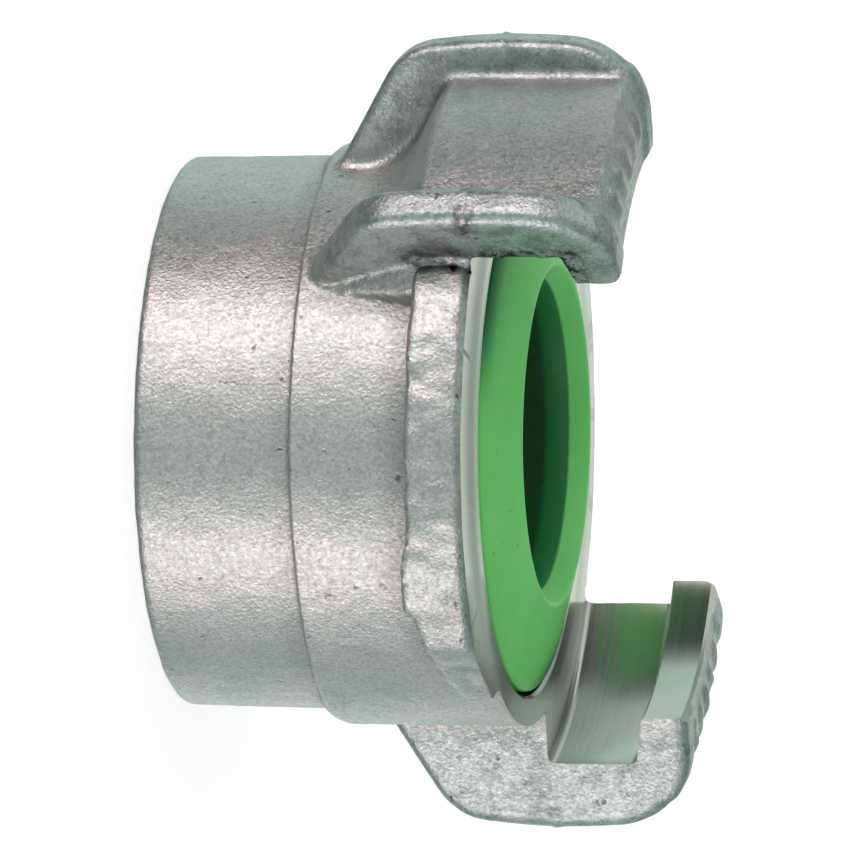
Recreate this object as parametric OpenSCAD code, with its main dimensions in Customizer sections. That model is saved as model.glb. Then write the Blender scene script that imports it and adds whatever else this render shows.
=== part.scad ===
// Half of a quick connect hose coupling, claw type, with a female pipe thread.
// One stainless casting with two hooked claws and two ramped flange segments,
// and one moulded rubber ring that seals against a second, equal half.
// Millimetres. Z runs along the coupling's axis from the threaded end to the seal.
// The claws are centred on +X and -X, and a half turn about Z maps the part to itself.

/* [Barrel and collar] */
// Outer radius of the collar
collar_r = 19.45; // [19.2:0.05:19.7]
// How far the collar stands out over the barrel
collar_step = 1; // [0.8:0.05:1.2]
// How much the barrel narrows towards its rear edge
barrel_draft = 0.15; // [0:0.05:0.4]
// Rounding of the barrel's rear edge
rear_round = 0.45; // [0.3:0.05:0.9]
// Height where the collar's shoulder starts
shoulder_z = 9.9; // [8:0.1:10.4]
// Radius of the rounded shoulder
shoulder_round = 1.5; // [1:0.1:2]
// Height of the machined front face
face_z = 23; // [22.6:0.1:23.4]

/* [Bores] */
// Wall between the thread's crests and the barrel's rear edge
thread_wall = 3.15; // [3.05:0.05:3.2]
// Depth of the threaded bore from the rear face
thread_depth = 13; // [12:0.1:13.4]
// Width of the rear face outside the thread's chamfer
rear_face_w = 1.4; // [1.2:0.05:1.7]
// Radius of the passage between the thread and the seal's pocket
waist_r = 11.5; // [10.6:0.1:12.5]
// Height of the pocket's floor, which the seal rests on
pocket_z = 16.6; // [16:0.1:17]
// Width of the machined ring between the pocket and the collar's edge
face_w = 1.95; // [1.85:0.05:2.1]
// Depth of the groove that keeps the seal in its pocket
groove_depth = 0.6; // [0.4:0.05:0.8]
// Height where the groove starts
groove_z = 17.8; // [17.4:0.1:18.2]
// Width of the groove along the axis
groove_len = 2.6; // [2:0.1:3]

/* [Claws] */
// Half of the angle that a claw covers
claw_half = 20.85; // [19:0.05:21.5]
// Inner radius of the hook's lip, half of the 40 mm claw distance
lip_r = 20; // [19.9:0.05:20.1]
// Height of the lip's rear face
lip_z = 29.35; // [28.8:0.05:29.8]
// How much thicker the lip is at its root than at its edge
lip_lean = 0.4; // [0:0.05:0.6]
// Height of the lip's front face
front_z = 32.3; // [31.9:0.05:32.6]
// Radius of the slot's floor, which the other half's flange runs under
slot_r = 23.3; // [23.2:0.05:23.5]
// Fillet in the slot's two corners
slot_fillet = 0.5; // [0.2:0.1:0.8]
// How far the thin web lies under the crest of its two ribs
web_in = 2.28; // [1.8:0.02:2.8]
// Height where the web's rear curve leaves the collar
web_foot_z = 13.75; // [13:0.05:14.5]
// Height where the web's rear curve ends
web_top_z = 19.7; // [19:0.1:20.5]
// How far the web's front lies behind the ribs' front
web_back = 0.1; // [0.05:0.05:0.3]

/* [Ribs on the claws] */
// Thickness of a rib
rib_w = 2.6; // [2.3:0.1:3]
// Rounding of a rib's outer edge
rib_round_out = 0.9; // [0.4:0.1:1.1]
// Rounding of a rib's inner edge
rib_round_in = 1.2; // [0.6:0.1:1.2]
// Slope of the rib's back, from the axis
back_slope = 60; // [55:1:65]
// Radius of the bend between the back and the crown
back_bend = 4.4; // [4:0.1:4.8]
// Radius of the shallow crown along the rib's top
crown_bend = 45; // [40:1:60]
// Angle where the crown starts
crown_start = 7.1; // [6:0.1:8]
// Angle where the crown ends
crown_end = 4.5; // [3:0.1:5]
// Radius of the bend at the hook's front
nose_bend = 5.3; // [4.8:0.05:5.5]
// How far the nose bend's centre lies inside the slot's floor
nose_in = 0.62; // [0.3:0.02:1]
// How far the web's sides lie inside the ribs' sides, as an angle
web_side = 0.3; // [0.2:0.1:0.6]
// Fillet between a claw's free side and the collar
free_fillet = 1; // [0.6:0.1:1.4]
// Fillet between a claw's flange side and the collar
stop_fillet = 1.7; // [1.2:0.1:2]

/* [Flange segments] */
// Outer radius of a flange segment
cam_r = 22.9; // [22.6:0.05:22.95]
// Height of the seat that the other half's lip pulls against
seat_z = 19.15; // [18.9:0.05:19.4]
// Height of the swell that the lip snaps over
swell_z = 18.5; // [18.2:0.05:18.8]
// How far the flange's front lies behind the machined face
cam_back = 0.15; // [0.1:0.05:0.3]
// Angle from the claw's middle that the segment reaches
cam_end = 115; // [113:0.5:117]
// Direction from the axis to the swell
swell_dir = 80; // [78:0.5:82]
// Chamfer around the flange's front edge
cam_edge = 0.4; // [0.2:0.05:0.6]
// Distance of the entry flat from the axis
entry_flat = 20.55; // [20.2:0.05:20.9]
// Direction that the entry flat faces
entry_angle = 115.75; // [113:0.25:118]
// Distance from the axis of the flat that runs the segment out into the collar
run_out_flat = 13; // [12.5:0.05:13.5]
// Direction that the run-out flat faces
run_out_angle = 158.5; // [156:0.5:161]
// Distance from a claw's side to the relief beside it
relief_gap = 0.35; // [0.2:0.05:0.5]
// Width of the relief between a claw's side and its flange segment
relief_w = 0.45; // [0.3:0.05:0.6]
// Radius of the relief's floor
relief_r = 20.6; // [20:0.1:21.5]

/* [Seal ring] */
// Gap between the seal's front and the pocket's wall
seal_gap = 0.35; // [0.2:0.05:0.4]
// Radius of the seal's crest
crest_r = 11.2; // [11:0.05:11.8]
// Height of the seal's crest
crest_z = 24.65; // [24.3:0.05:25]
// Radius of the passage through the seal
seal_bore_r = 10.4; // [10:0.1:11]
// Height where the passage's mouth bevel starts
mouth_z = 23.6; // [23.2:0.1:24]
// Gap between the bead and the groove around it
bead_gap = 0.15; // [0.1:0.05:0.25]

/* [Hidden] */
$fn = 96;
far = 60;
// What the lathe still takes off the casting's front.
stock = 0.4;
steel = [0.66, 0.69, 0.67];
green = [0.28, 0.68, 0.29];

// Barrel, thread, pocket and seal follow the collar.
barrel_r = collar_r - collar_step;
barrel_rear_r = barrel_r - barrel_draft;
thread_r = barrel_rear_r - thread_wall;
thread_mouth_r = barrel_rear_r - rear_face_w;
pocket_r = collar_r - face_w;
groove_r = pocket_r + groove_depth;
seal_r = pocket_r - seal_gap;
bead_r = groove_r - bead_gap;

// Centre radius of the nose bend, and radius of the web.
nose_r = slot_r - nose_in;
web_r = nose_r + nose_bend - web_in;

// Crest line of a rib, as points of height and radius.
nose_c = [front_z - nose_bend, nose_r];
crown_p = nose_c + nose_bend * [sin(crown_end), cos(crown_end)];
crown_c = crown_p - crown_bend * [sin(crown_end), cos(crown_end)];
bend_p = crown_c + crown_bend * [-sin(crown_start), cos(crown_start)];
bend_c = bend_p - back_bend * [-sin(crown_start), cos(crown_start)];
root_r = collar_r - 0.8;

// Rear curve of the claw's web, as shares of its rise from the collar and of its length.
web_curve = [
    [0, 0], [0.03, 0.1], [0.09, 0.23], [0.17, 0.35], [0.28, 0.48],
    [0.42, 0.6], [0.6, 0.71], [0.82, 0.83], [0.94, 0.91], [1, 1]
];

// Back of a flange segment, as distance from the swell and height above it.
back_line = [
    [-5, seat_z - swell_z], [-3, 0.3], [-1.2, 0.05], [0.35, 0], [1.1, 0.5],
    [3.85, 1.15], [7.35, 1.7], [9.6, 2.5], [10, 3.5], [10.6, 5]
];

// Heights where the fillets beside a claw start.
free_fillet_z = 12.9;
stop_fillet_z = 13.2;

// The web's nose follows the ribs' nose bend a little further in.
web_nose = nose_bend - web_back;
web_turn = acos((web_r - nose_r) / web_nose);

function arc(c, r, a0, a1, n = 6) =
    [for (i = [0:n]) c + r * [cos(a0 + (a1 - a0) * i / n), sin(a0 + (a1 - a0) * i / n)]];

// Half section of the barrel, collar and bores, as radius and height.
module shell_section() {
    mouth = thread_mouth_r - thread_r;
    shoulder_in = acos((barrel_r - collar_r + shoulder_round) / shoulder_round);
    polygon(concat(
        [[thread_mouth_r, 0]],
        arc([barrel_rear_r - rear_round, rear_round], rear_round, -90, 0),
        arc([collar_r - shoulder_round, shoulder_z + shoulder_round * sin(shoulder_in)],
            shoulder_round, -shoulder_in, 0, 5),
        [[collar_r, face_z + stock], [pocket_r, face_z + stock],
         [pocket_r, groove_z + groove_len], [groove_r, groove_z + groove_len - 0.2],
         [groove_r, groove_z + 0.2], [pocket_r, groove_z], [pocket_r, pocket_z],
         [waist_r, pocket_z], [waist_r, thread_depth + 2], [waist_r + 0.8, thread_depth + 1.2],
         [thread_r, thread_depth], [thread_r, mouth * 0.6]]
    ));
}

// What the lathe takes off at the front face and out from under the hooks.
module slot_section() {
    z0 = face_z - cam_back;
    f = slot_fillet;
    polygon(concat(
        [[0, face_z - 0.45], [pocket_r - 0.3, face_z - 0.45], [pocket_r + 0.15, face_z],
         [collar_r - 0.1, face_z], [collar_r - 0.1 + cam_back, z0]],
        arc([slot_r - f, z0 + f], f, -90, 0, 4),
        arc([slot_r - f, lip_z - lip_lean - f], f, 0, 84, 4),
        [[lip_r + 0.15, lip_z], [lip_r, lip_z + 0.15],
         [lip_r, front_z - 0.3], [lip_r + 0.3, front_z], [lip_r + 0.3, far], [0, far]]
    ));
}

// Barrel, collar and bores, turned from their section.
module shell() {
    rotate_extrude() shell_section();
}

// Part of a turn about the axis, centred on the given angle.
module sector(mid, half) {
    rotate([0, 0, mid - half]) rotate_extrude(angle = 2 * half) children();
}

// The claw's wall: a thin web that curves up out of the collar and forms the hook.
module claw_web() {
    r0 = collar_r - 0.85;
    sector(0, claw_half - web_side) polygon(concat(
        [[r0, web_foot_z - 0.65]],
        [for (p = web_curve) [collar_r + p[0] * (web_r - collar_r),
                              web_foot_z + p[1] * (web_top_z - web_foot_z)]],
        arc([nose_r, nose_c[0]], web_nose, web_turn, 90, 5),
        [[r0, front_z - web_back]]
    ));
}

// Side view of a rib, set in by a distance, as points of height and radius.
function rib_outline(in) =
    let (
        top = bend_c + (back_bend - in) * [-sin(back_slope), cos(back_slope)],
        heel = [top[0] - (top[1] - root_r) / tan(back_slope), root_r]
    )
    concat(
        [heel],
        arc(bend_c, back_bend - in, 90 + back_slope, 90 + crown_start, 6),
        [for (k = [1:4]) let (a = 90 + crown_start - k * (crown_start + crown_end) / 5)
            crown_c + (crown_bend - in) * [cos(a), sin(a)]],
        arc(nose_c, nose_bend - in, 90 - crown_end, 0, 9),
        [[front_z - in, root_r]]
    );

// Depth into the rib and set-in of each layer, so that both edges come out round.
rib_layers = concat(
    [for (a = [0:22.5:90]) rib_round_out * [1 - cos(a), 1 - sin(a)]],
    [for (a = [0:22.5:90]) [rib_w - rib_round_in + rib_round_in * sin(a), rib_round_in * (1 - cos(a))]]
);

// One rib, with its side face in the plane y = 0 and its body at y above 0.
module rib() {
    n = len(rib_outline(0));
    m = len(rib_layers);
    polyhedron(
        points = [for (l = rib_layers) for (p = rib_outline(l[1])) [p[1], l[0], p[0]]],
        faces = concat(
            [[for (i = [0:n - 1]) n - 1 - i]],
            [[for (i = [0:n - 1]) (m - 1) * n + i]],
            [for (j = [0:m - 2]) for (i = [0:n - 1])
                let (k = (i + 1) % n) [j * n + i, (j + 1) * n + k, (j + 1) * n + i]],
            [for (j = [0:m - 2]) for (i = [0:n - 1])
                let (k = (i + 1) % n) [j * n + i, j * n + k, (j + 1) * n + k]]
        )
    );
}

// Fillet between a claw's side, in the plane y = 0, and the collar.
module side_fillet(f, z0, z1) {
    translate([0, 0.06, z0]) linear_extrude(height = z1 - z0) polygon(concat(
        [[collar_r - 0.6, 0.5], [collar_r + f, 0.5]],
        arc([collar_r + f, -f], f, 90, 180, 6),
        [[collar_r - 0.25, -f - 1], [collar_r - 0.6, -f - 1]]
    ));
}

module claw() {
    claw_web();
    rotate([0, 0, -claw_half]) rib();
    rotate([0, 0, claw_half]) mirror([0, 1, 0]) rib();
    rotate([0, 0, -claw_half]) side_fillet(free_fillet, free_fillet_z, face_z + stock);
    rotate([0, 0, claw_half]) mirror([0, 1, 0]) side_fillet(stop_fillet, stop_fillet_z, seat_z + 0.5);
}

// Flange segment: a ring sector with a ramped back, an entry flat and a run out.
module flange_segment() {
    start = claw_half - 3;
    top = face_z - cam_back;
    low = swell_z - 3.5;
    back_end = back_line[len(back_line) - 1][0];
    difference() {
        sector((start + cam_end) / 2, (cam_end - start) / 2) polygon([
            [collar_r - 0.85, swell_z - 0.6], [cam_r - 0.3, swell_z - 0.6], [cam_r, swell_z - 0.3],
            [cam_r, top - cam_edge], [cam_r - cam_edge - stock, top + stock],
            [collar_r - 0.85, top + stock]
        ]);
        // the back: a flat seat, a swell and a lead in for the other half's lip
        rotate([0, 0, swell_dir]) rotate([90, 0, 90]) linear_extrude(height = far) polygon(concat(
            [[-far, low], [-far, seat_z]],
            [for (p = back_line) [p[0], swell_z + p[1]]],
            [[back_end, low]]
        ));
        // the entry flat
        rotate([0, 0, entry_angle]) translate([entry_flat, -far / 2, low]) cube([far, far, far]);
        // the run out into the collar
        rotate([0, 0, run_out_angle]) translate([run_out_flat, -far / 2, low]) cube([far, far, far]);
        // the relief beside the claw
        rotate([0, 0, claw_half]) translate([relief_r, relief_gap, low]) cube([far, relief_w, far]);
    }
}

// The whole casting: the shell with both claws and flange segments, as the lathe leaves it.
module coupling_body() {
    color(steel) difference() {
        union() {
            shell();
            for (turn = [0, 180]) rotate([0, 0, turn]) {
                claw();
                flange_segment();
            }
        }
        rotate_extrude() slot_section();
    }
}

// The moulded seal: a flat foot, a bead for the groove, a conical face and a rounded crest.
module seal_ring() {
    lip = 0.25;
    color(green) rotate_extrude() polygon(concat(
        [[seal_bore_r, pocket_z], [seal_r, pocket_z],
         [seal_r, groove_z + bead_gap], [bead_r, groove_z + bead_gap + 0.3],
         [bead_r, groove_z + groove_len - bead_gap - 0.3],
         [seal_r, groove_z + groove_len - bead_gap], [seal_r, face_z - 0.15],
         [seal_r - 0.25, face_z + 0.1]],
        arc([crest_r, crest_z - 0.5], 0.5, 74, 125, 4),
        [[seal_bore_r + lip, mouth_z + 0.1], [seal_bore_r, mouth_z - 0.2]]
    ));
}

coupling_body();
seal_ring();
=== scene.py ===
import math
import bmesh
import bpy
import numpy as np
from mathutils import Matrix, Vector


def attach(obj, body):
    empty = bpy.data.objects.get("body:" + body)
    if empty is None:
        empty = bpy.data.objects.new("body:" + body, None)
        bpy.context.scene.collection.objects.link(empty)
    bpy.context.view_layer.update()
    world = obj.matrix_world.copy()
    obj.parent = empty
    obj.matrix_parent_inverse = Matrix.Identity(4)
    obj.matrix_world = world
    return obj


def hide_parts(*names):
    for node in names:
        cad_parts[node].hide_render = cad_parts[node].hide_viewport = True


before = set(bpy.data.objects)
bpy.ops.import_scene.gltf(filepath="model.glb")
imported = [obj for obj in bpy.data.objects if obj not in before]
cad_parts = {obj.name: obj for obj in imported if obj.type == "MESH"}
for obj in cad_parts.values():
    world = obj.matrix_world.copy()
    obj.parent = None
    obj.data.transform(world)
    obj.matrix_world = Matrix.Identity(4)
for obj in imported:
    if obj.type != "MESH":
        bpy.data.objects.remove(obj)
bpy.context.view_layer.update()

MM = 0.001
rad = math.radians


# Camera: looks across the axis, with the threaded end on the left.
PICTURE = 856               # width of the picture, in points
SENSOR = 36                 # width of the sensor, in millimetres
PX = 15.01                  # points to a millimetre, at the axis
FOCAL = 13185.5             # distance from the axis, in points
Z_MID = 239.2 / PX          # height on the axis that the camera aims near
AIM_RIGHT, AIM_UP = 0.29, 4.88      # from there to the aim, in points
YAW, PITCH, ROLL = rad(11.86), rad(2.13), rad(-0.13)
UP_AZ = -37.55              # azimuth in the CAD frame of the picture's top


def az_dir(psi, elev=0.0):
    """Direction at an angle psi from the picture's top, raised from the CAD floor."""
    a, e = rad(psi + UP_AZ), rad(elev)
    return Vector((math.cos(a) * math.cos(e), math.sin(a) * math.cos(e), math.sin(e)))


def make_camera():
    along, toward, top = Vector((0, 0, 1)), az_dir(90), az_dir(0)
    right = along * math.cos(YAW) - toward * math.sin(YAW)
    depth = along * math.sin(YAW) + toward * math.cos(YAW)
    up = top * math.cos(PITCH) - depth * math.sin(PITCH)
    back = depth * math.cos(PITCH) + top * math.sin(PITCH)
    right, up = (right * math.cos(ROLL) - up * math.sin(ROLL),
                 right * math.sin(ROLL) + up * math.cos(ROLL))
    place = Vector((0, 0, Z_MID)) + (right * AIM_RIGHT + up * AIM_UP + back * FOCAL) / PX
    data = bpy.data.cameras.new("camera")
    data.sensor_width = SENSOR
    data.lens = SENSOR * FOCAL / PICTURE
    data.clip_start, data.clip_end = 0.05, 20
    cam = bpy.data.objects.new("camera", data)
    turn = Matrix((right, up, back)).transposed().to_4x4()
    cam.matrix_world = Matrix.Translation(place * MM) @ turn
    bpy.context.collection.objects.link(cam)
    bpy.context.scene.camera = cam


make_camera()


# Shapes as distances in millimetres, negative inside.
CORNERS = [(i, j, k) for i in (0, 1) for j in (0, 1) for k in (0, 1)]


def both(a, b, r):
    """What two shapes have in common, with the edge between them rounded to r."""
    bend = np.hypot(np.maximum(a + r, 0), np.maximum(b + r, 0))
    return np.minimum(np.maximum(a, b), -r) + bend


def either(a, b, r):
    """Two shapes as one, with the corner between them filled to r."""
    bend = np.hypot(np.maximum(r - a, 0), np.maximum(r - b, 0))
    return np.maximum(np.minimum(a, b), r) - bend


def outline(points, a, b):
    """Distance of the points (a, b) from a closed outline in their plane."""
    best = np.full(a.shape, 1e9)
    inside = np.zeros(a.shape, bool)
    for (a0, b0), (a1, b1) in zip(points, points[1:] + points[:1]):
        da, db = a1 - a0, b1 - b0
        t = np.clip(((a - a0) * da + (b - b0) * db) / (da * da + db * db), 0, 1)
        best = np.minimum(best, (a - a0 - t * da) ** 2 + (b - b0 - t * db) ** 2)
        if db:
            inside ^= ((b0 <= b) != (b1 <= b)) & (a < a0 + (b - b0) * da / db)
    return np.where(inside, -1, 1) * np.sqrt(best)


def arc(c, r, a0, a1, n=10):
    """Points on a circle around c, from angle a0 to a1 in n steps."""
    angles = [rad(a0 + (a1 - a0) * i / n) for i in range(n + 1)]
    return [(c[0] + r * math.cos(a), c[1] + r * math.sin(a)) for a in angles]


def smooth(a, b, x):
    """Goes from 0 at a to 1 at b, whichever of the two is greater."""
    t = np.clip((x - a) / (b - a), 0, 1)
    return t * t * (3 - 2 * t)


NOISE_SEED, NOISE_LAYERS, NOISE_CELLS = 7, 8, 32
NOISE_OFFSET = 100          # moves the part's axis off the lattice's edge
LATTICE = np.random.default_rng(NOISE_SEED).uniform(
    -1, 1, (NOISE_LAYERS, NOISE_CELLS, NOISE_CELLS, NOISE_CELLS))


def noise(p, size, layer):
    """Smooth random values between -1 and 1, with bumps of the given size."""
    q = p / size + NOISE_OFFSET
    base = np.floor(q).astype(int)
    f = q - base
    f = f * f * (3 - 2 * f)
    out = 0
    for i, j, k in CORNERS:
        weight = ((f[:, 0] if i else 1 - f[:, 0]) * (f[:, 1] if j else 1 - f[:, 1])
                  * (f[:, 2] if k else 1 - f[:, 2]))
        at = (base + (i, j, k)) % NOISE_CELLS
        out = out + weight * LATTICE[layer, at[:, 0], at[:, 1], at[:, 2]]
    return out


# Values of the model's source, in millimetres and degrees.
HALF_DEG = 20.85                    # half of the angle that a claw takes up
HALF = rad(HALF_DEG)
BARREL_R, DRAFT = 18.3, 0.015
COLLAR_R, COLLAR_Z = 19.45, 10.65
FRONT_Z, FACE_Z = 32.3, 23.0        # fronts of the claws, machined face
NOSE_R, NOSE_BEND = 22.68, 5.3      # centre and radius of a claw's front bend
WEB_R = NOSE_R + NOSE_BEND - 2.28
RIB_W = 2.6
CAM_R, SWELL_Z, SEAT_Z = 22.9, 18.5, 19.15
THREAD_R, THREAD_DEEP, THREAD_PITCH = 15.15, 1.48, 2.309
WAIST_R, POCKET_R, GROOVE_R, POCKET_Z = 11.5, 17.5, 18.1, 16.6
SEAL_R, SEAL_RIM_R, SEAL_BORE_R = 17.15, 17.95, 10.4
SLOT_R, SLOT_Z, HOOK_R = 23.3, 29.35, 20        # slot's floor and front, hook's lip

# Values that only this mesh has.
RAW_FACE_Z = 23.7                   # the face before it is machined
SHOULDER_AZ, SHOULDER_Z = 140, 9.82     # where the crisp step turns soft
PAD_W, PAD_MORE_W = 0.55, 0.9       # pad's width at its rear, and what it gains from there
PAD_H, PAD_MORE_H = 0.3, 0.9
PAD_REACH, PAD_MORE_REACH = 19.8, 2.4
RELIEF_GAP, RELIEF_HALF_W, RELIEF_R, RELIEF_Z = 0.55, 0.15, 22.1, 18.9
SEAM_Z = 23.1
BAR_STEP, BAR_R = 5.2, 23.3         # plain bars on the hooks' fronts
STEP, QUICK_STEP, EDGE_STEP = 0.32, 0.42, 0.08

nose_c = (FRONT_Z - NOSE_BEND, NOSE_R)


def rib_outline():
    """A rib from the side, as height and reach: heel, rear bend, crown, nose."""
    crown_r, bend_r, rear = 45, 4.4, 60
    rise, fall = 7.1, 4.5           # slopes of the crown at its two ends
    c1, s1 = math.cos(rad(rise)), math.sin(rad(rise))
    c2, s2 = math.cos(rad(fall)), math.sin(rad(fall))
    crown_p = (nose_c[0] + NOSE_BEND * s2, nose_c[1] + NOSE_BEND * c2)
    crown_c = (crown_p[0] - crown_r * s2, crown_p[1] - crown_r * c2)
    bend_p = (crown_c[0] - crown_r * s1, crown_c[1] + crown_r * c1)
    bend_c = (bend_p[0] + bend_r * s1, bend_p[1] - bend_r * c1)
    foot_r = COLLAR_R - 1.6
    top = (bend_c[0] - bend_r * math.sin(rad(rear)), bend_c[1] + bend_r * math.cos(rad(rear)))
    heel = (top[0] - (top[1] - foot_r) / math.tan(rad(rear)), foot_r)
    return ([heel] + arc(bend_c, bend_r, 90 + rear, 90 + rise) + arc(crown_c, crown_r, 95, 87)
            + arc(nose_c, NOSE_BEND, 90 - fall, 0, 16) + [(FRONT_Z, foot_r)])


def web_outline():
    """The web from the side, as height and radius: foot, hollow rear, nose."""
    foot_r, bend_r, steps = COLLAR_R - 0.9, NOSE_BEND - 0.1, 12
    rear_z, rear_long = 13.75, 5.95
    share = [(0, 0), (.03, .1), (.09, .23), (.17, .35), (.28, .48), (.42, .6), (.6, .71),
             (.82, .83), (.94, .91), (1, 1)]
    rear = [(rear_z + rear_long * q, COLLAR_R + p * (WEB_R - COLLAR_R)) for p, q in share]
    turn = math.degrees(math.acos((WEB_R - NOSE_R) / bend_r))
    angles = [rad(turn + (90 - turn) * i / steps) for i in range(steps + 1)]
    nose = [(nose_c[0] + bend_r * math.sin(a), nose_c[1] + bend_r * math.cos(a)) for a in angles]
    return [(13.1, foot_r)] + rear + nose + [(FRONT_Z - 0.1, foot_r)]


RIB, WEB = rib_outline(), web_outline()
# Back of a flange segment, as way along it and height: seat, swell, ramp, stop.
BACK = [(-60, SEAT_Z), (-5, SEAT_Z), (-3, 18.8), (-1.2, 18.55), (.35, SWELL_Z), (1.1, 19.0),
        (3.85, 19.65), (7.35, 20.2), (9.6, 21.0), (10, 22.0), (10.6, 23.5), (60, 60)]


def plane(x, y, angle, dist):
    """Distance from an upright plane that faces the given azimuth."""
    return x * math.cos(rad(angle)) + y * math.sin(rad(angle)) - dist


def claw_frame(x, y):
    """Distance from the plane of a claw's side, and the way out along that plane."""
    return (y * math.cos(HALF) - x * math.sin(HALF), x * math.cos(HALF) + y * math.sin(HALF))


def flange(x, y, z, r):
    """One flange segment, with its ramped back and a bevel at its front."""
    run_az, flat_az, end_az = 80, 115.75, 158.5
    along = y * math.cos(rad(run_az)) - x * math.sin(rad(run_az))
    back = np.interp(along, [p[0] for p in BACK], [p[1] for p in BACK])
    d = both(r - CAM_R, (back - z) * 0.97, 0.35)
    d = both(d, ((r - CAM_R) + (z - 22.5)) * 0.7071, 0.2)
    d = both(d, plane(x, y, flat_az, 20.55), 0.3)
    d = np.maximum(d, plane(x, y, end_az, 13))
    return np.maximum(d, plane(x, y, HALF_DEG - 3 - 90, 0))


def casting(p):
    """The body as it comes out of the mould, without its bores."""
    x, y, z = p[:, 0], p[:, 1], p[:, 2]
    r = np.hypot(x, y)
    # barrel and collar: a crisp step that turns into a soft shoulder beside the claws
    barrel = both(r - BARREL_R - DRAFT * z, -z, 0.45)
    theta = np.degrees(np.arctan2(y, x)) % 180
    soft = 1 - smooth(14, 34, np.abs(theta - SHOULDER_AZ))
    crisp = both(r - COLLAR_R, COLLAR_Z - z, 0.30)
    shoulder = both(r - COLLAR_R, SHOULDER_Z - z, 1.5)
    d = either(barrel, crisp * (1 - soft) + shoulder * soft, 0.2)
    d = np.maximum(d, z - RAW_FACE_Z)
    # flange segments, on both sides
    seg = np.minimum(flange(x, y, z, r), flange(-x, -y, z, r))
    d = either(d, np.maximum(seg, z - RAW_FACE_Z), 0.3)
    # claws, folded onto one half and one side
    sign = np.where(x < 0, -1.0, 1.0)
    cx, cy = x * sign, y * sign
    side, reach = claw_frame(cx, np.abs(cy))
    near = (cx > 10) & (side < 6) & (z > 8)
    web, rib = np.full(r.shape, 9.0), np.full(r.shape, 9.0)
    web[near] = np.maximum(side[near] + 0.4, outline(WEB, z[near], r[near]))
    plate = np.maximum(side[near], -side[near] - RIB_W)
    edge = np.where(side[near] > -RIB_W / 2, 0.9, 0.65)
    rib[near] = both(plate, outline(RIB, z[near], reach[near]), edge)
    d = either(d, web, 0.15)
    d = either(d, rib, np.where(cy > 0, 0.45, 0.7))
    # pad that rises beside a claw towards its flange segment
    gap, _ = claw_frame(cx, cy)
    k = np.clip((z - 13.3) / 4.7, 0, 1.1)
    slope = (PAD_H + PAD_MORE_H * k) / (PAD_W + PAD_MORE_W * k)
    top = (reach - PAD_REACH - PAD_MORE_REACH * k + gap * slope) / np.sqrt(1 + slope ** 2)
    pad = both(gap - PAD_W - PAD_MORE_W * k, top, 0.15)
    pad = np.maximum.reduce([pad, 12.9 - z, z - 19.6, -gap - 1.0, 18 - r])
    d = np.where(cx > 10, either(d, pad, 0.12), d)
    # relief between a claw's flange side and its segment, with uneven walls
    wob = 0.14 * noise(p, 0.9, 3)
    walls = np.abs(gap - RELIEF_GAP + wob) - RELIEF_HALF_W - wob * 0.5
    relief = np.maximum.reduce([walls, RELIEF_R + 2 * wob - r, RELIEF_Z - z])
    d = np.where(cx > 10, np.maximum(d, -relief), d)
    # seam of the mould
    off = (z - SEAM_Z - 0.15 * noise(p, 3.0, 2)) / 0.22
    return d - 0.15 * np.exp(-off ** 2) * smooth(26.3, 26.9, r)


def mark_bars(p):
    """Short raised bars across the hooks' fronts."""
    a = np.degrees(np.arctan2(p[:, 1], np.abs(p[:, 0])))
    r = np.hypot(p[:, 0], p[:, 1])
    k = np.round(a / BAR_STEP)
    along = np.abs(a - BAR_STEP * k) * rad(1) * r
    bar = smooth(0.75, 0.15, along) * smooth(1.7, 1.0, np.abs(r - BAR_R))
    return bar * (np.abs(k) <= 2.1) * smooth(31.2, 31.9, p[:, 2])


def crust(p):
    """Scale of the mould on one claw: beside its slot, in pits behind it and on the seam."""
    x, y, z = p[:, 0], p[:, 1], p[:, 2]
    side, reach = claw_frame(x, y)
    edge = ((smooth(24.7, 23.8, reach) + 0.35 * smooth(26.0, 24.7, reach)) / 1.35
            * smooth(23.2, 23.8, z) * smooth(31.0, 29.4, z))
    pits = (0.6 * smooth(1.5, 0.4, np.abs(reach - 23.4))
            * smooth(17.8, 18.6, z) * smooth(22.6, 21.8, z))
    seam = 0.8 * smooth(1.0, 0.2, np.abs(z - SEAM_Z)) * smooth(25.5, 26.5, reach)
    where = (x > 0) * smooth(-1.6, -0.8, side) * smooth(0.9, 0.5, side)
    return np.maximum.reduce([edge, pits, seam]) * where


def roughen(p, normal):
    """Grain and waves of the cast skin, stronger on the flange segments."""
    r = np.hypot(p[:, 0], p[:, 1])
    theta = np.degrees(np.arctan2(p[:, 1], p[:, 0])) % 180
    block = (smooth(20.5, 21.3, r) * smooth(22, 24, theta) * (1 - smooth(110, 112, theta))
             * smooth(17.5, 18.5, p[:, 2]))
    amount = 0.020 * noise(p, 0.7, 0) + 0.022 * noise(p, 1.7, 1) + 0.03 * noise(p, 4.5, 4)
    amount += block * (0.08 * noise(p, 0.9, 5) + 0.13 * noise(p, 2.2, 6))
    amount += 0.24 * mark_bars(p) * (0.75 + 0.5 * noise(p, 0.8, 6))
    amount -= 0.10 * crust(p) * smooth(-0.1, 0.5, noise(p, 0.6, 7))
    return p + normal * amount[:, None]


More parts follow.
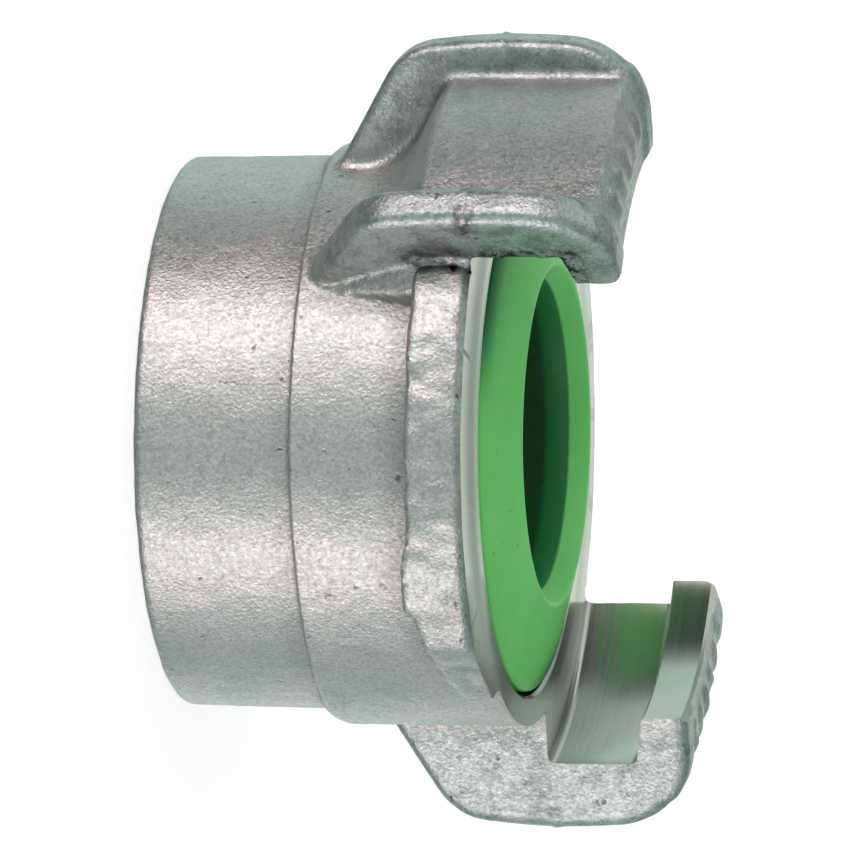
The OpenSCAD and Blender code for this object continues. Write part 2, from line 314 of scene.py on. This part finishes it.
# Meshes
def sampled(field, axes):
    """The field on a grid: fine near its zero, and only its sign in whole blocks elsewhere."""
    block, batch, margin = 4, 4000, 1.9
    n = np.array([len(a) for a in axes])
    h = max(np.diff(a).max() for a in axes)
    grid = np.full(n, 1.0, np.float64)
    parts = np.indices((block,) * 3).reshape(3, -1).T
    idx = np.indices(np.ceil(n / block).astype(int)).reshape(3, -1).T
    value = field(placed(idx * block + block / 2, axes))
    for start in range(0, len(idx), batch):
        ids, val = idx[start:start + batch], value[start:start + batch]
        close = np.abs(val) < block * h * margin
        for i, j, k in ids[~close & (val < 0)] * block:
            grid[i:i + block, j:j + block, k:k + block] = -1
        cells = (ids[close][:, None, :] * block + parts[None]).reshape(-1, 3)
        cells = cells[(cells < n).all(axis=1)]
        grid[cells[:, 0], cells[:, 1], cells[:, 2]] = field(placed(cells, axes))
    return grid


def placed(index, axes):
    """Positions of points that are given by their place on the grid."""
    return np.stack([np.interp(index[:, k], np.arange(len(a)), a) for k, a in enumerate(axes)], 1)


def surface(field, axes):
    """Quads through the zero of a distance field, with one point for each cell it crosses."""
    grid = sampled(field, axes)
    n = np.array(grid.shape)
    inside = grid < 0
    count = sum(inside[i:n[0] - 1 + i, j:n[1] - 1 + j, k:n[2] - 1 + k].astype(np.int8)
                for i, j, k in CORNERS)
    cell = np.argwhere((count > 0) & (count < 8))
    number = np.full(n - 1, -1, np.int64)
    number[cell[:, 0], cell[:, 1], cell[:, 2]] = np.arange(len(cell))
    val = np.stack([grid[cell[:, 0] + i, cell[:, 1] + j, cell[:, 2] + k] for i, j, k in CORNERS])
    total, hits = np.zeros((len(cell), 3)), np.zeros(len(cell))
    for a, corner in enumerate(CORNERS):
        for axis, bit in ((0, 4), (1, 2), (2, 1)):
            if a & bit:
                continue
            va, vb = val[a], val[a | bit]
            cross = (va < 0) != (vb < 0)
            point = np.tile(np.array(corner, float), (len(cell), 1))
            point[:, axis] += np.where(cross, va / np.where(cross, va - vb, 1), 0)
            total += point * cross[:, None]
            hits += cross
    quads = []
    for axis in range(3):
        u, v = (axis + 1) % 3, (axis + 2) % 3
        first, second = [slice(None)] * 3, [slice(None)] * 3
        first[axis], second[axis] = slice(0, -1), slice(1, None)
        flip = np.argwhere(inside[tuple(first)] != inside[tuple(second)])
        out = inside[flip[:, 0], flip[:, 1], flip[:, 2]]
        ring = []
        for du, dv in ((1, 1), (0, 1), (0, 0), (1, 0)):
            c = flip.copy()
            c[:, u] -= du
            c[:, v] -= dv
            ring.append(number[c[:, 0], c[:, 1], c[:, 2]])
        ring = np.stack(ring, 1)
        ring[~out] = ring[~out][:, ::-1]
        quads.append(ring)
    return placed(cell + total / hits[:, None], axes), np.concatenate(quads)


def gradient(field, p, e=0.02):
    """Direction in which a field grows, and how fast."""
    g = np.stack([field(p + way) - field(p - way) for way in np.eye(3) * e], 1) / (2 * e)
    size = np.linalg.norm(g, axis=1, keepdims=True)
    return g / np.maximum(size, 1e-6), size[:, 0]


def new_object(name, verts, faces, *materials):
    """A mesh object from points in millimetres."""
    mesh = bpy.data.meshes.new(name)
    mesh.from_pydata((np.asarray(verts) * MM).tolist(), [], faces)
    for m in materials:
        mesh.materials.append(m)
    obj = bpy.data.objects.new(name, mesh)
    bpy.context.collection.objects.link(obj)
    return obj


def lathe(profile, turns, radius=None):
    """Quads turned around the axis; radius may move the points of each turn."""
    prof = np.array(profile)
    a = np.arange(turns) * 2 * math.pi / turns
    rr = np.tile(prof[:, 0], (turns, 1))
    zz = np.tile(prof[:, 1], (turns, 1))
    if radius is not None:
        rr = radius(rr, zz, a[:, None])
    verts = np.stack([rr * np.cos(a)[:, None], rr * np.sin(a)[:, None], zz], -1).reshape(-1, 3)
    n = len(prof)
    i, j = np.meshgrid(np.arange(turns), np.arange(n - 1), indexing="ij")
    i2 = (i + 1) % turns
    faces = np.stack([i * n + j, i2 * n + j, i2 * n + j + 1, i * n + j + 1], -1).reshape(-1, 4)
    return verts, faces.tolist(), n


def capped(profile, turns, radius=None):
    """A lathe solid whose first and last points are closed by a centre point."""
    verts, faces, n = lathe(profile, turns, radius)
    bottom, top = len(verts), len(verts) + 1
    verts = np.vstack([verts, [[0, 0, profile[0][1]], [0, 0, profile[-1][1]]]])
    for i in range(turns):
        i2 = (i + 1) % turns
        faces.append((bottom, i2 * n, i * n))
        faces.append((top, i * n + n - 1, i2 * n + n - 1))
    return verts, faces


def slot_profile():
    """What is turned off in front of the face: its bevel, the hooks' slot and their lips."""
    z0, f = FACE_Z - 0.15, 0.5
    inner_z = SLOT_Z - 0.4 - f
    floor = ([(SLOT_R - 0.05 - f, z0)] + arc((SLOT_R - f, z0 + f), f, -90, 0, 8)
             + [(SLOT_R, z0 + f + 0.06), (SLOT_R, SLOT_Z - 0.46 - f)]
             + arc((SLOT_R - f, inner_z), f, 0, 84, 8) + [(SLOT_R - 0.1 - f, SLOT_Z - 0.38)])
    lip = [(HOOK_R + 0.15, SLOT_Z), (HOOK_R, SLOT_Z + 0.15), (HOOK_R, FRONT_Z - 0.3),
           (HOOK_R + 0.3, FRONT_Z), (HOOK_R + 0.6, FRONT_Z + 0.3), (HOOK_R + 0.6, 40)]
    return [(17.2, FACE_Z - 0.45), (17.65, FACE_Z), (19.35, FACE_Z), (19.95, z0)] + floor + lip


def thread_radius(r, z, a):
    """Pipe thread between its two diameters, fading out at the end of the bore."""
    flat, last_z = 0.14, 12.9
    turn = (z / THREAD_PITCH - a / (2 * math.pi)) % 1.0
    wave = np.clip(np.abs(turn - 0.5) * 2, flat, 1 - flat)
    depth = (wave - flat) / (1 - 2 * flat)
    fade = smooth(-1.5, -0.8, z) * (1 - smooth(11.2, 12.4, z))
    cut_r = THREAD_R + THREAD_DEEP * depth * fade
    return np.where((z <= last_z) & (r < THREAD_R + 0.05), cut_r, r)


def bore_profile():
    """Rear chamfer, rows for the thread, waist, seal pocket and its groove."""
    rows = [(17.9, -1.0), (16.9, 0.0), (15.9, 1.0)]
    rows += [(THREAD_R, z) for z in np.arange(1.75, 12.9, 0.145)]
    rows += [(THREAD_R, 13.0), (12.3, 14.2), (WAIST_R, 15.0), (WAIST_R, POCKET_Z)]
    rows += [(POCKET_R, POCKET_Z), (POCKET_R, 17.8), (GROOVE_R, 18.0), (GROOVE_R, 20.2)]
    return rows + [(POCKET_R, 20.4), (POCKET_R, 22.8)]


def cut(obj, tool):
    """Take a tool's shape out of an object, with the tool's material on the new faces."""
    mod = obj.modifiers.new("cut", "BOOLEAN")
    mod.operation, mod.object = "DIFFERENCE", tool
    mod.solver, mod.material_mode = "MANIFOLD", "TRANSFER"
    bpy.context.view_layer.update()
    seen = obj.evaluated_get(bpy.context.evaluated_depsgraph_get())
    mesh = bpy.data.meshes.new_from_object(seen)
    obj.modifiers.clear()
    old = obj.data
    obj.data = mesh
    mesh.name = old.name
    bpy.data.meshes.remove(old)
    bpy.data.objects.remove(tool)


def weld(mesh):
    """Join the points that a cut leaves within a few thousandths of a millimetre,
    and take out the folded pairs of faces that this leaves."""
    join, thin, few = 4e-6, 2e-6, 20
    b = bmesh.new()
    b.from_mesh(mesh)
    bmesh.ops.remove_doubles(b, verts=b.verts, dist=join)
    bmesh.ops.triangulate(b, faces=[
        f for f in b.faces if len(f.verts) > 4
        or any(len(v.link_edges) == 2 for v in f.verts)])
    bmesh.ops.dissolve_degenerate(b, edges=b.edges, dist=thin)
    seen, flakes = set(), []
    for start in b.faces:
        if start in seen:
            continue
        seen.add(start)
        group = [start]
        for face in group:
            for edge in face.edges:
                if len(edge.link_faces) == 2:
                    new = [f for f in edge.link_faces if f not in seen]
                    seen.update(new)
                    group += new
        if len(group) < few:
            flakes += group
    bmesh.ops.delete(b, geom=flakes, context="FACES")
    b.to_mesh(mesh)
    b.free()


# Materials
class Nodes:
    """Short ways to add and join the nodes of a material or a world."""

    def __init__(self, owner):
        owner.use_nodes = True
        self.owner, self.tree = owner, owner.node_tree

    def first(self, kind):
        return next(n for n in self.tree.nodes if n.type == kind)

    def add(self, kind, **values):
        node = self.tree.nodes.new(kind)
        for key, value in values.items():
            if hasattr(node, key):
                setattr(node, key, value)
            else:
                node.inputs[key.replace("_", " ")].default_value = value
        return node

    def link(self, a, b):
        self.tree.links.new(a, b)

    def give(self, socket, value):
        """Join a socket, or set it directly on the node."""
        if isinstance(value, bpy.types.NodeSocket):
            self.link(value, socket)
        else:
            socket.default_value = (*value, 1) if isinstance(value, tuple) else value

    @property
    def place(self):
        if not hasattr(self, "_place"):
            self._place = self.add("ShaderNodeTexCoord").outputs["Object"]
        return self._place

    def noise(self, scale, detail, rough, vector=None):
        n = self.add("ShaderNodeTexNoise", Scale=scale, Detail=detail, Roughness=rough)
        self.link(vector or self.place, n.inputs["Vector"])
        return n.outputs["Fac"]

    def ramp(self, fac, *stops):
        n = self.add("ShaderNodeValToRGB")
        while len(n.color_ramp.elements) < len(stops):
            n.color_ramp.elements.new(0.5)
        for e, (pos, col) in zip(n.color_ramp.elements, stops):
            e.position = pos
            e.color = (*col, 1) if isinstance(col, tuple) else (col, col, col, 1)
        self.link(fac, n.inputs["Fac"])
        return n.outputs["Color"]

    def mix(self, fac, a, b, blend="MIX"):
        n = self.add("ShaderNodeMix", data_type="RGBA", blend_type=blend)
        for number, value in ((0, fac), (6, a), (7, b)):
            self.give(n.inputs[number], value)
        return n.outputs[2]

    def times(self, a, b):
        """Two colours multiplied."""
        return self.mix(1.0, a, b, "MULTIPLY")

    def math(self, op, a, b=0.0):
        n = self.add("ShaderNodeMath", operation=op)
        self.give(n.inputs[0], a)
        self.give(n.inputs[1], b)
        return n.outputs[0]

    def attribute(self, name):
        return self.add("ShaderNodeAttribute", attribute_name=name).outputs["Fac"]

    def bump(self, height, distance, strength, after=None):
        n = self.add("ShaderNodeBump", Distance=distance, Strength=strength)
        self.link(height, n.inputs["Height"])
        if after:
            self.link(after, n.inputs["Normal"])
        return n.outputs["Normal"]

    def complete(self, **sockets):
        """Give the material's own shader its values, and return the material."""
        shader = self.first("BSDF_PRINCIPLED")
        for name, value in sockets.items():
            self.give(shader.inputs[name.replace("_", " ")], value)
        return self.owner


PLAIN = (1.0, 1.0, 1.0)


def cast_steel():
    """Blasted casting: uneven tint, grain, a few pits, painted shade in hollows and creases,
    patches and crust.
    """
    n = Nodes(bpy.data.materials.new("cast_steel"))
    colour = n.ramp(n.noise(260, 4, 0.6), (0.3, (0.50, 0.53, 0.51)), (0.5, (0.56, 0.575, 0.56)),
                    (0.7, (0.60, 0.585, 0.58)))
    grain = n.ramp(n.noise(4200, 3, 0.7), (0.35, 0.80), (0.5, 1.0), (0.65, 1.12))
    pits = n.ramp(n.noise(1050, 2, 0.5), (0.22, 0.45), (0.29, 1.0))
    # painted shade: darker where the casting closes in around the surface, in hollows and creases
    shade = n.ramp(n.attribute("painted_shade"), (0.0, 0.22), (0.5, 0.62), (0.95, 1.0))
    patches = n.mix(n.attribute("coarse"), PLAIN, n.ramp(
        n.noise(620, 4, 0.7), (0.38, (0.58, 0.66, 0.66)), (0.52, (0.87, 0.96, 0.95))))
    dark = n.mix(n.attribute("crust"), PLAIN, n.ramp(
        n.noise(1700, 3, 0.7), (0.42, (0.10, 0.10, 0.10)), (0.56, (0.98, 0.82, 0.92))))
    for layer in (grain, pits, shade, patches, dark):
        colour = n.times(colour, layer)
    cells = n.add("ShaderNodeTexVoronoi", feature="F1", Scale=3700.0)
    n.link(n.place, cells.inputs["Vector"])
    b = n.bump(n.noise(900, 2, 0.5), 0.00010, 0.2)
    b = n.bump(cells.outputs["Distance"], 0.00004, 0.5, b)
    b = n.bump(n.noise(6500, 1, 0.5), 0.00004, 0.6, b)
    b = n.bump(pits, 0.00012, 0.6, b)
    rough = n.ramp(n.noise(3000, 3, 0.6), (0.3, 0.33), (0.7, 0.54))
    return n.complete(Metallic=1, Base_Color=colour, Roughness=rough, Normal=b)


def turned_steel():
    """Turned faces: fine lines around the axis, and highlights drawn out across them."""
    fine, slow = 60.0, 0.6          # how dense the lines are across and around the axis
    n = Nodes(bpy.data.materials.new("turned_steel"))
    split = n.add("ShaderNodeSeparateXYZ")
    n.link(n.place, split.inputs[0])
    x, y, z = split.outputs
    radius = n.math("SQRT", n.math("ADD", n.math("MULTIPLY", x, x), n.math("MULTIPLY", y, y)))
    path = n.math("ADD", radius, z)
    joined = n.add("ShaderNodeCombineXYZ")
    for number, value, density in ((0, path, fine), (1, x, slow), (2, y, slow)):
        n.link(n.math("MULTIPLY", value, density), joined.inputs[number])
    lines = n.noise(120, 3, 0.7, joined.outputs[0])
    tint = n.ramp(n.noise(180, 3, 0.6), (0.3, (0.55, 0.57, 0.52)), (0.7, (0.64, 0.645, 0.60)))
    around = n.add("ShaderNodeTangent", direction_type="RADIAL", axis="Z").outputs[0]
    return n.complete(
        Metallic=1, Base_Color=n.times(tint, n.ramp(lines, (0.3, 0.93), (0.7, 1.02))),
        Roughness=n.ramp(lines, (0.3, 0.17), (0.7, 0.25)), Anisotropic=0.75,
        Anisotropic_Rotation=0.25, Tangent=around, Normal=n.bump(lines, 0.00001, 0.4))


def green_rubber():
    """Moulded rubber: slightly uneven, with a few dark specks, painted shade deep in the bore and
    a painted shadow beside the claws.
    """
    n = Nodes(bpy.data.materials.new("green_rubber"))
    tint = n.ramp(n.noise(140, 3, 0.5), (0.3, (0.095, 0.47, 0.095)), (0.7, (0.12, 0.52, 0.115)))
    specks = n.ramp(n.noise(1500, 2, 0.5), (0.24, 0.55), (0.28, 1.0))
    # painted shade deep in the bore, and painted shadow of the claws on the rim beside them
    shade = n.ramp(n.attribute("painted_shade"), (0.0, (0.06, 0.12, 0.14)), (0.3, (0.08, 0.33, 0.38)),
                   (1.0, PLAIN))
    return n.complete(
        Specular_IOR_Level=0.45, Base_Color=n.times(n.times(tint, specks), shade),
        Roughness=n.ramp(n.noise(700, 3, 0.6), (0.3, 0.36), (0.7, 0.5)),
        Normal=n.bump(n.noise(1400, 3, 0.6), 0.00002, 0.35))


CAST, TURNED, RUBBER = cast_steel(), turned_steel(), green_rubber()


# Pieces
def add_value(mesh, name, value):
    """A value for each point, which the materials read."""
    mesh.attributes.new(name, "FLOAT", "POINT").data.foreach_set("value", value)


def make_body():
    near, far = 0.4, 3              # distances at which hollows are felt
    step = STEP
    across = np.arange(-29.3, 29.6, step)
    rows = np.concatenate([np.arange(-0.9, 9.9, step), np.arange(10.1, 11.2, EDGE_STEP),
                           np.arange(11.3, 33.5, step)])
    verts, quads = surface(casting, (across, across, rows))
    for _ in range(2):
        normal, size = gradient(casting, verts)
        move = np.clip(casting(verts) / np.maximum(size, 0.5), -0.2, 0.2)
        verts = verts - normal * move[:, None]
    normal, _ = gradient(casting, verts)
    body = new_object("body_casting", roughen(verts, normal), quads.tolist(), CAST, TURNED)
    cut(body, new_object("bore_tool", *capped(bore_profile(), 192, thread_radius), TURNED))
    cut(body, new_object("slot_tool", *capped(slot_profile(), 320), TURNED))
    mesh = body.data
    weld(mesh)
    mesh.shade_smooth()
    mesh.set_sharp_from_angle(angle=rad(38))
    count = len(mesh.vertices)
    co, no = np.empty(count * 3), np.empty(count * 3)
    mesh.vertices.foreach_get("co", co)
    mesh.vertex_normals.foreach_get("vector", no)
    co, no = co.reshape(-1, 3) / MM, no.reshape(-1, 3)
    # painted shade: how open each point is to the casting around it, near and far, darkens
    # hollows and creases
    open_near = np.clip(casting(co + no * near) / near, 0, 1)
    open_far = np.clip(casting(co + no * far) / far, 0, 1)
    r = np.hypot(co[:, 0], co[:, 1])
    side, _ = claw_frame(np.abs(co[:, 0]), np.abs(co[:, 1]))
    ribs = smooth(-3.2, -2.4, side) * smooth(0.7, 0.3, side)
    add_value(mesh, "painted_shade", open_near * (0.4 + 0.6 * open_far))
    add_value(mesh, "coarse", smooth(20.2, 21.8, r) * (0.25 + 0.75 * ribs))
    add_value(mesh, "crust", crust(co))
    return body


def seal_profile():
    """The seal: bore, foot in the pocket, rim in the groove, rounded crest."""
    body = [(SEAL_BORE_R, POCKET_Z), (SEAL_R, POCKET_Z), (SEAL_R, 17.95), (SEAL_RIM_R, 18.25),
            (SEAL_RIM_R, 19.95), (SEAL_R, 20.25), (SEAL_R, 22.75), (SEAL_R - 0.05, 22.95),
            (SEAL_R - 0.2, 23.1)]
    crest = arc((11.5, 24.22), 0.5, 74, 130, 8)
    lip = [(10.65, 23.75), (10.5, 23.55), (SEAL_BORE_R, 23.4), (SEAL_BORE_R, 22.1),
           (SEAL_BORE_R, 21.7)]
    return body + crest + lip


def make_seal():
    turns, longest = 240, 1.2       # faces around, and the longest face along the profile
    prof = seal_profile()
    fine = []
    for (r0, z0), (r1, z1) in zip(prof, prof[1:] + prof[:1]):
        k = max(1, int(math.hypot(r1 - r0, z1 - z0) / longest))
        fine += [(r0 + (r1 - r0) * i / k, z0 + (z1 - z0) * i / k) for i in range(k)]
    verts, faces, n = lathe(fine, turns)
    for i in range(turns):
        here, after = i * n, ((i + 1) % turns) * n
        faces.append((after, here, here + n - 1, after + n - 1))
    seal = new_object("seal_moulding", verts, faces, RUBBER)
    seal.data.shade_smooth()
    seal.data.set_sharp_from_angle(angle=rad(40))
    r, z = np.hypot(verts[:, 0], verts[:, 1]), verts[:, 2]
    theta = np.degrees(np.arctan2(verts[:, 1], verts[:, 0]))
    claw = np.abs((theta + 90) % 180 - 90)
    # painted shadow of the claws on the outer cone beside them, and painted shade deep in the
    # bore
    beside = smooth(15.0, 17.0, r) * smooth(50, 22, claw)
    in_bore = r < SEAL_BORE_R + 0.05
    shade = np.where(in_bore, 0.3 * smooth(21.7, 22.1, z), 1 - 0.8 * beside)
    add_value(seal.data, "painted_shade", shade)
    return seal


body = make_body()
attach(body, "root")
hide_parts("coupling_body")

seal = make_seal()
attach(seal, "root")
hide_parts("seal_ring")


# Studio
FLOOR_SIZE, FLOOR_Z = 3000, -0.02
WHITE, FILL, MIRROR = (1, 1, 1), (0.97, 1.0, 0.98), (0.80, 1.0, 0.94)
FILL_LEVEL, MIRROR_LEVEL = 0.80, 0.52
FLAG_AZ, FLAG_INNER, FLAG_OUTER = 13, 13, 24    # place and reach of the dark flag
ROSE, COOL, WARM = (1.0, 0.80, 0.83), (0.84, 1.0, 0.92), (1.0, 1.0, 0.84)
# name, angle from the picture's top, elevation, distance, width, height, power, tint
LAMPS = (
    ("key", 44.5, -12, 0.40, 0.23, 0.40, 0.77, ROSE),
    ("low", 141, -12, 0.40, 0.155, 0.40, 0.49, ROSE),
    ("rim", -42, -10, 0.50, 0.54, 0.42, 0.20, COOL),
    ("rear", 268, 12, 0.50, 0.18, 0.16, 0.05, WARM),
    ("top", 5, 52, 0.50, 0.45, 0.45, 0.4, WHITE),
    ("back", 235, -22, 0.50, 0.30, 0.30, 0.15, WHITE),
)


def floor_material():
    """Pale floor with the object's shadow, which reflections and shadow rays pass through."""
    n = Nodes(bpy.data.materials.new("floor"))
    shader = n.first("BSDF_PRINCIPLED")
    shader.inputs["Base Color"].default_value = (0.45, 0.45, 0.45, 1)
    shader.inputs["Roughness"].default_value = 0.9
    glow = n.add("ShaderNodeEmission", Strength=0.69)
    path = n.add("ShaderNodeLightPath").outputs
    add, lit, clear = (n.add("ShaderNode" + k) for k in ("AddShader", "MixShader", "MixShader"))
    glass = n.add("ShaderNodeBsdfTransparent")
    n.link(shader.outputs[0], add.inputs[0])
    n.link(glow.outputs[0], add.inputs[1])
    n.link(path["Is Camera Ray"], lit.inputs[0])
    n.link(shader.outputs[0], lit.inputs[1])
    n.link(add.outputs[0], lit.inputs[2])
    n.link(n.math("MAXIMUM", path["Is Glossy Ray"], path["Is Shadow Ray"]), clear.inputs[0])
    n.link(lit.outputs[0], clear.inputs[1])
    n.link(glass.outputs[0], clear.inputs[2])
    n.link(clear.outputs[0], n.first("OUTPUT_MATERIAL").inputs["Surface"])
    return n.owner


def make_floor():
    s = FLOOR_SIZE
    corners = [(-s, -s, FLOOR_Z), (s, -s, FLOOR_Z), (s, s, FLOOR_Z), (-s, s, FLOOR_Z)]
    floor = new_object("floor", corners, [(0, 1, 2, 3)], floor_material())


def softbox(name, psi, elev, dist, width, height, power, tint):
    """A rectangular lamp that faces the part and isn't seen itself."""
    data = bpy.data.lights.new(name, "AREA")
    data.shape = "RECTANGLE"
    data.size, data.size_y, data.energy, data.color = width, height, power, tint
    obj = bpy.data.objects.new(name, data)
    aim = Vector((0, 0, 0.016))
    obj.location = aim + az_dir(psi, elev) * dist
    obj.rotation_euler = (obj.location - aim).to_track_quat("Z", "Y").to_euler()
    obj.visible_camera = False
    bpy.context.collection.objects.link(obj)


def make_world():
    """White to the camera, a soft fill, and in reflections a pale horizon that darkens up
    and down, with a dark upright flag between the upper lamp and the pale studio."""
    n = Nodes(bpy.data.worlds.new("world"))
    bpy.context.scene.world = n.owner
    way = n.add("ShaderNodeTexCoord").outputs["Generated"]
    split = n.add("ShaderNodeSeparateXYZ")
    n.link(way, split.inputs[0])
    dimmed = tuple(0.50 * c for c in MIRROR)
    fade = n.ramp(n.math("ABSOLUTE", split.outputs[2]), (0.30, MIRROR), (0.80, dimmed))
    level = n.add("ShaderNodeVectorMath", operation="MULTIPLY")
    level.inputs[1].default_value = (1, 1, 0)
    unit = n.add("ShaderNodeVectorMath", operation="NORMALIZE")
    facing = n.add("ShaderNodeVectorMath", operation="DOT_PRODUCT")
    facing.inputs[1].default_value = az_dir(FLAG_AZ)
    n.link(way, level.inputs[0])
    n.link(level.outputs[0], unit.inputs[0])
    n.link(unit.outputs[0], facing.inputs[0])
    flag = n.ramp(facing.outputs["Value"], (math.cos(rad(FLAG_OUTER)), 1.0),
                  (math.cos(rad(FLAG_INNER)), 0.10))
    shaded = n.times(fade, flag)
    path = n.add("ShaderNodeLightPath")
    shader = n.first("BACKGROUND")
    shader.inputs["Color"].default_value = (*FILL, 1)
    shader.inputs["Strength"].default_value = FILL_LEVEL
    for ray, colour, strength in (("Transmission", WHITE, 1.0),
                                  ("Glossy", shaded, MIRROR_LEVEL), ("Camera", WHITE, 1.0)):
        back = n.add("ShaderNodeBackground", Strength=strength)
        n.give(back.inputs["Color"], colour)
        pick = n.add("ShaderNodeMixShader")
        n.link(path.outputs["Is " + ray + " Ray"], pick.inputs[0])
        n.link(shader.outputs[0], pick.inputs[1])
        n.link(back.outputs[0], pick.inputs[2])
        shader = pick
    n.link(shader.outputs[0], n.first("OUTPUT_WORLD").inputs["Surface"])


make_floor()
make_world()
for lamp in LAMPS:
    softbox(*lamp)

scene = bpy.context.scene
scene.view_settings.view_transform = "Standard"
